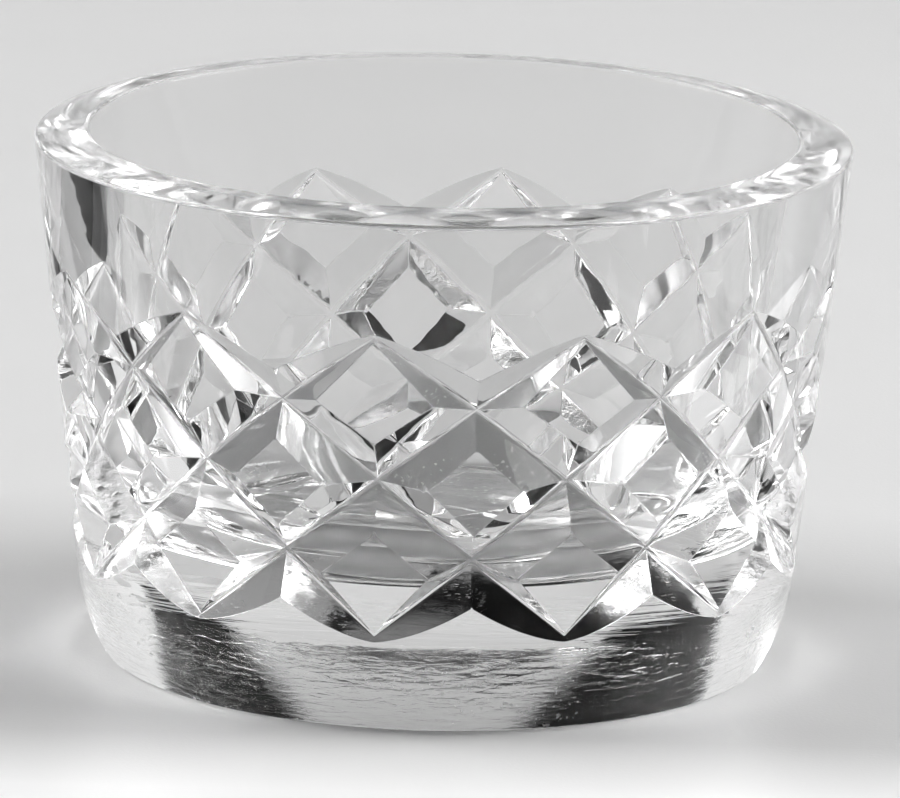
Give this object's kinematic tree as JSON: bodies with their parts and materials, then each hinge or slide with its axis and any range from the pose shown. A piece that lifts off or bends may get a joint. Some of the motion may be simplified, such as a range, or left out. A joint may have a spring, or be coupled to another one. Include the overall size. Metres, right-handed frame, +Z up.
{
  "type": "salt cellar",
  "caption": "Open salt cellar of thick clear cut crystal: a tapered round dish with a deep bowl, a curved heel and a band of crossing mitre cuts that leave flat-topped diamonds.",
  "frame": {"origin": "middle of the base, on the plane that the dish stands on", "axes": "+Z up along the axis of the round dish, -Y towards the front, with a top crossing of the cuts on the front line"},
  "size_m": [0.0648, 0.0648, 0.0421],
  "materials": {
    "clear_crystal": "polished clear crystal"
  },
  "bodies": {
    "root": {"glass_bowl": "clear_crystal"}
  },
  "joints": []
}
